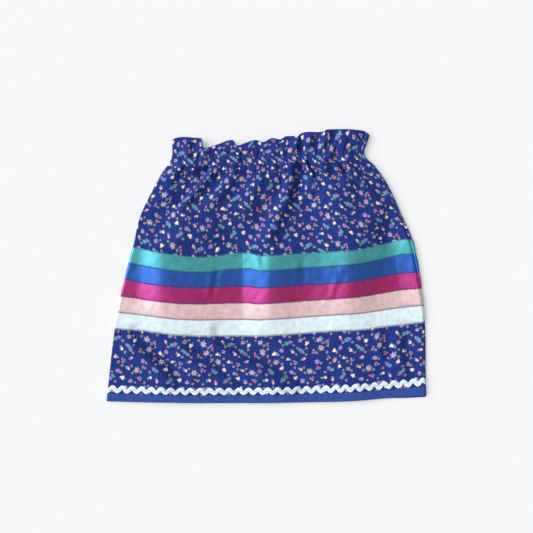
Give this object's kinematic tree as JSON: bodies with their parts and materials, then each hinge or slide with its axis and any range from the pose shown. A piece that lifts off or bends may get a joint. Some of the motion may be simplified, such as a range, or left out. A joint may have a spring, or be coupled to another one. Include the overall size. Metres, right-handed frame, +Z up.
{
  "type": "ribbon skirt",
  "caption": "Child's gathered ribbon skirt laid flat: printed cotton tube with a ruffled elastic waist, satin ribbon bands, rickrack and a bound hem.",
  "frame": {"origin": "on the surface the skirt lies on, under the middle of its outline", "axes": "+X across the skirt to the right as seen from above, +Y towards the waist, +Z up off the surface"},
  "size_m": [0.4328, 0.3683, 0.0131],
  "materials": {
    "print_cotton": "printed quilting cotton, matte, fine plain weave",
    "teal_satin": "polyester satin ribbon, soft sheen",
    "royal_satin": "polyester satin ribbon, soft sheen",
    "magenta_satin": "polyester satin ribbon, soft sheen",
    "pink_satin": "polyester satin ribbon, soft sheen",
    "white_satin": "polyester satin ribbon, soft sheen",
    "rickrack_braid": "flat braid, matte",
    "hem_cotton": "plain cotton binding, matte"
  },
  "bodies": {
    "root": {"front_panel": "print_cotton", "front_ribbon_teal": "teal_satin", "front_ribbon_royal": "royal_satin", "front_ribbon_magenta": "magenta_satin", "front_ribbon_pink": "pink_satin", "front_ribbon_white": "white_satin", "front_rickrack": "rickrack_braid", "front_hem_band": "hem_cotton", "back_panel": "print_cotton", "back_ribbon_teal": "teal_satin", "back_ribbon_royal": "royal_satin", "back_ribbon_magenta": "magenta_satin", "back_ribbon_pink": "pink_satin", "back_ribbon_white": "white_satin", "back_rickrack": "rickrack_braid", "back_hem_band": "hem_cotton"}
  },
  "joints": []
}
